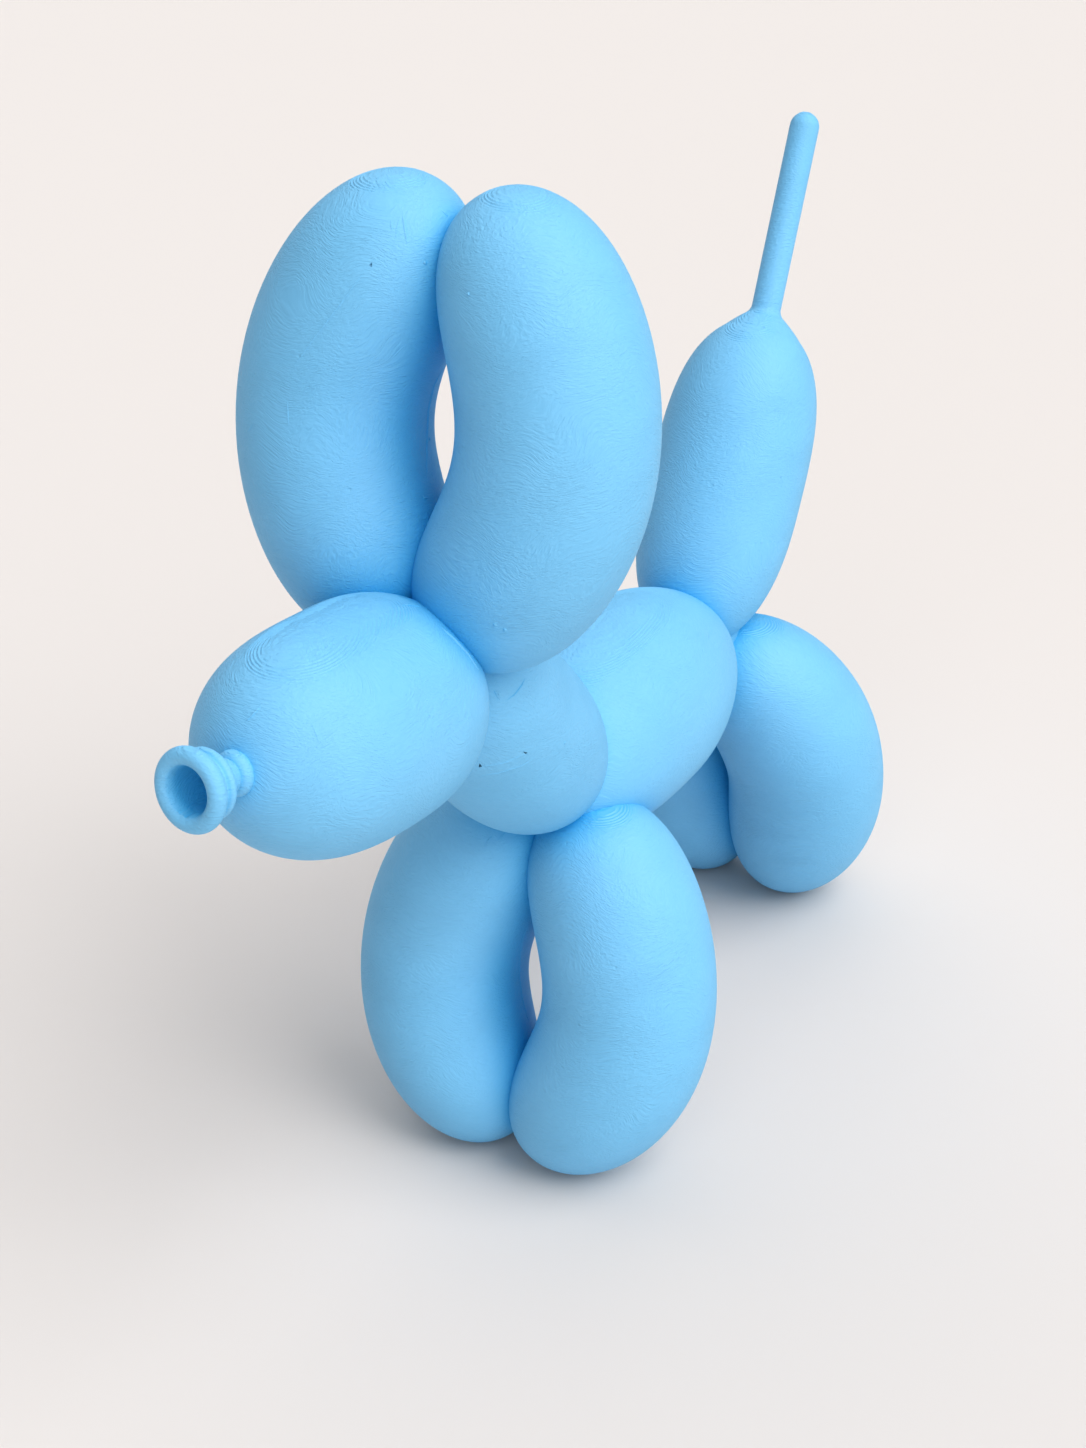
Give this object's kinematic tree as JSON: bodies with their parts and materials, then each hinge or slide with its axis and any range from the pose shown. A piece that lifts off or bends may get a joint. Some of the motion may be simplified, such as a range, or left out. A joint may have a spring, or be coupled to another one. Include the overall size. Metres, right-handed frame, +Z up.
{
  "type": "balloon dog figurine",
  "caption": "Desk figurine of a twisted balloon dog with a filling nozzle for a nose, printed standing in one piece of matte blue plastic",
  "frame": {"origin": "centre of the figure's bounding box, on the flat soles of its feet", "axes": "+Z up, the dog faces -Y, +X is the dog's left"},
  "size_m": [0.07, 0.2148, 0.1897],
  "materials": {
    "blue_plastic": "matte printed plastic with fine layer lines"
  },
  "bodies": {
    "root": {"balloon_dog": "blue_plastic"}
  },
  "joints": []
}
